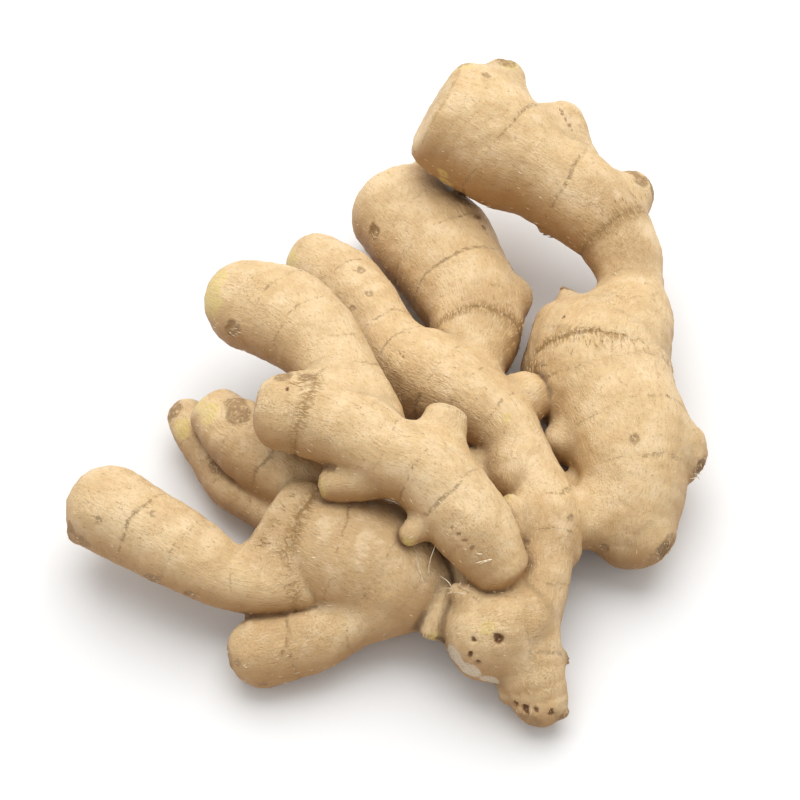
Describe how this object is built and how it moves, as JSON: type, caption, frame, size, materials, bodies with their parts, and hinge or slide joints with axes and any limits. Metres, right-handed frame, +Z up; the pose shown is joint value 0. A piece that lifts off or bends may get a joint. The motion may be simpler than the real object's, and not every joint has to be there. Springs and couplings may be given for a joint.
{
  "type": "ginger root",
  "caption": "Fresh ginger root: one knobbly branching rhizome with ringed fingers, buds and cut ends, lying flat on a table.",
  "frame": {"origin": "under the middle of the root's bounding box, on the surface that it lies on", "axes": "+Z up; +Y along the root's longest reach, towards the long arm's end; +X towards the broad right lobe"},
  "size_m": [0.17, 0.1892, 0.0617],
  "materials": {
    "skin": "matt, thin papery skin, pale tan with fine lengthwise fibres, brown ring scars and yellowish tips"
  },
  "bodies": {
    "root": {"ginger_root": "skin"}
  },
  "joints": []
}
